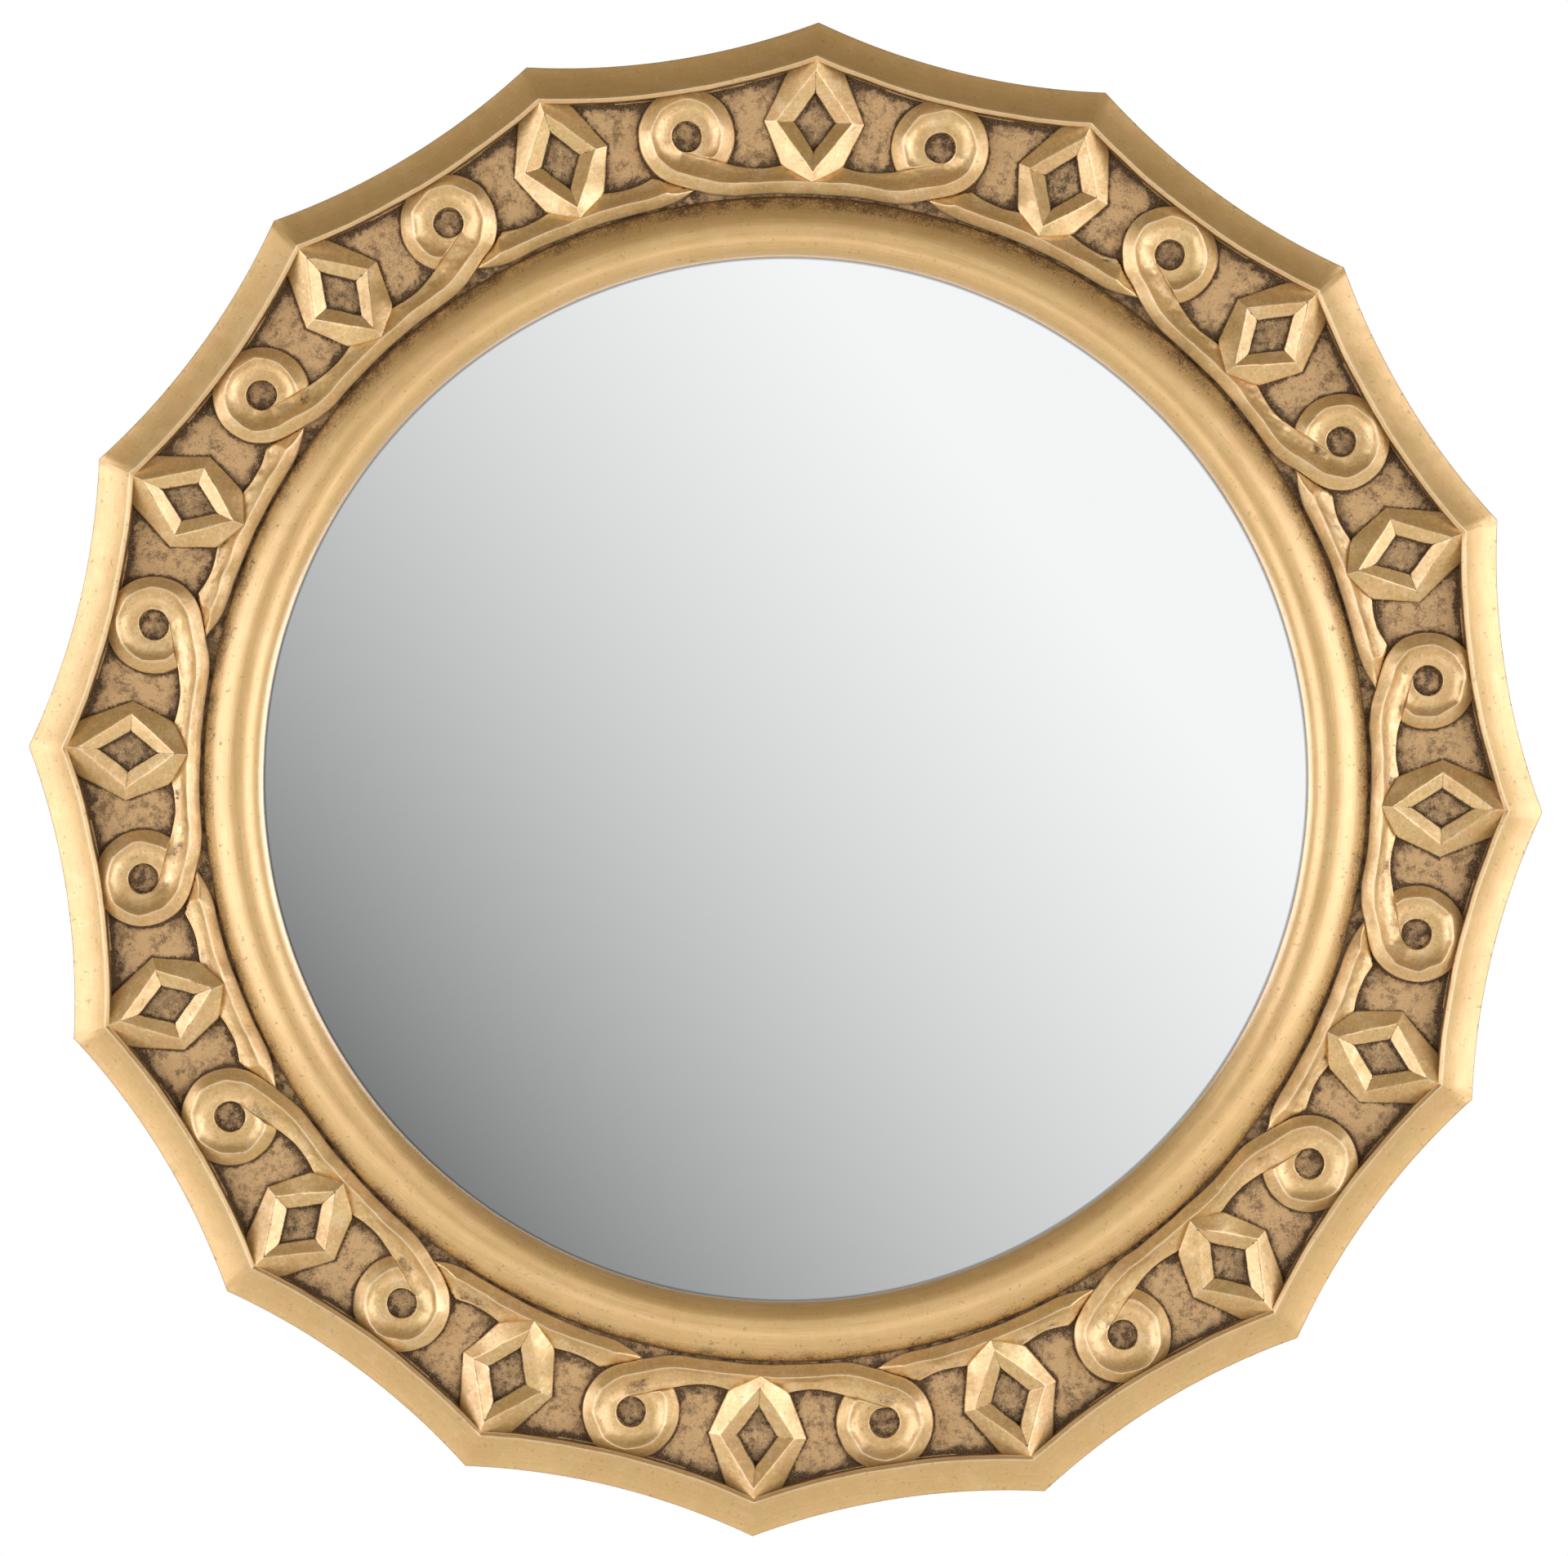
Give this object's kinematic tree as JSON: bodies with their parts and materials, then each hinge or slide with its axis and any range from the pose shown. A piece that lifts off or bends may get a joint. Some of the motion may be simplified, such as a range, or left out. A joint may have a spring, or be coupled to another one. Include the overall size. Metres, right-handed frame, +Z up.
{
  "type": "round wall mirror",
  "caption": "Round wall mirror in a carved, gilded scalloped frame with scroll bands, lozenges, a half-round bead and swinging ring hangers in the back.",
  "frame": {"origin": "centre of the mirror on the wall plane", "axes": "+Z up the wall, -Y out of the wall towards the viewer, +X to the viewer's right"},
  "size_m": [0.61, 0.0257, 0.61],
  "materials": {
    "carved_gilt": "carved wood under satin, rubbed gold leaf with brown patina in the creases",
    "ground_gilt": "wood ring with rough, darker gilding on its front",
    "silvered_glass": "flat float glass, silvered on the back",
    "backing_board": "plain hardboard",
    "hanger_steel": "plated steel"
  },
  "bodies": {
    "frame": {"ground_ring": "ground_gilt", "bead_ring": "carved_gilt", "mirror_glass": "silvered_glass", "back_board": "backing_board", "rim_length_01": "carved_gilt", "rim_length_02": "carved_gilt", "rim_length_03": "carved_gilt", "rim_length_04": "carved_gilt", "rim_length_05": "carved_gilt", "rim_length_06": "carved_gilt", "rim_length_07": "carved_gilt", "rim_length_08": "carved_gilt", "rim_length_09": "carved_gilt", "rim_length_10": "carved_gilt", "rim_length_11": "carved_gilt", "rim_length_12": "carved_gilt", "rim_length_13": "carved_gilt", "rim_length_14": "carved_gilt", "rim_length_15": "carved_gilt", "rim_length_16": "carved_gilt", "lozenge_01": "carved_gilt", "lozenge_02": "carved_gilt", "lozenge_03": "carved_gilt", "lozenge_04": "carved_gilt", "lozenge_05": "carved_gilt", "lozenge_06": "carved_gilt", "lozenge_07": "carved_gilt", "lozenge_08": "carved_gilt", "lozenge_09": "carved_gilt", "lozenge_10": "carved_gilt", "lozenge_11": "carved_gilt", "lozenge_12": "carved_gilt", "lozenge_13": "carved_gilt", "lozenge_14": "carved_gilt", "lozenge_15": "carved_gilt", "lozenge_16": "carved_gilt", "c_scroll_01": "carved_gilt", "c_scroll_02": "carved_gilt", "c_scroll_03": "carved_gilt", "c_scroll_04": "carved_gilt", "c_scroll_05": "carved_gilt", "c_scroll_06": "carved_gilt", "c_scroll_07": "carved_gilt", "c_scroll_08": "carved_gilt", "link_band_01": "carved_gilt", "link_band_02": "carved_gilt", "link_band_03": "carved_gilt", "link_band_04": "carved_gilt", "link_band_05": "carved_gilt", "link_band_06": "carved_gilt", "link_band_07": "carved_gilt", "link_band_08": "carved_gilt", "hanger_strap_left": "hanger_steel", "hanger_strap_right": "hanger_steel"},
    "ring_left": {"hanger_ring_left": "hanger_steel"},
    "ring_right": {"hanger_ring_right": "hanger_steel"}
  },
  "joints": [
    {"name": "ring_left_swing", "type": "hinge", "parent": "frame", "child": "ring_left", "pos_m": [0.25112, -0.00322, 0.08944], "axis": [-1, 0, 0], "range_deg": [0, 160]},
    {"name": "ring_right_swing", "type": "hinge", "parent": "frame", "child": "ring_right", "pos_m": [-0.25112, -0.00322, 0.08944], "axis": [-1, 0, 0], "range_deg": [0, 160]}
  ]
}
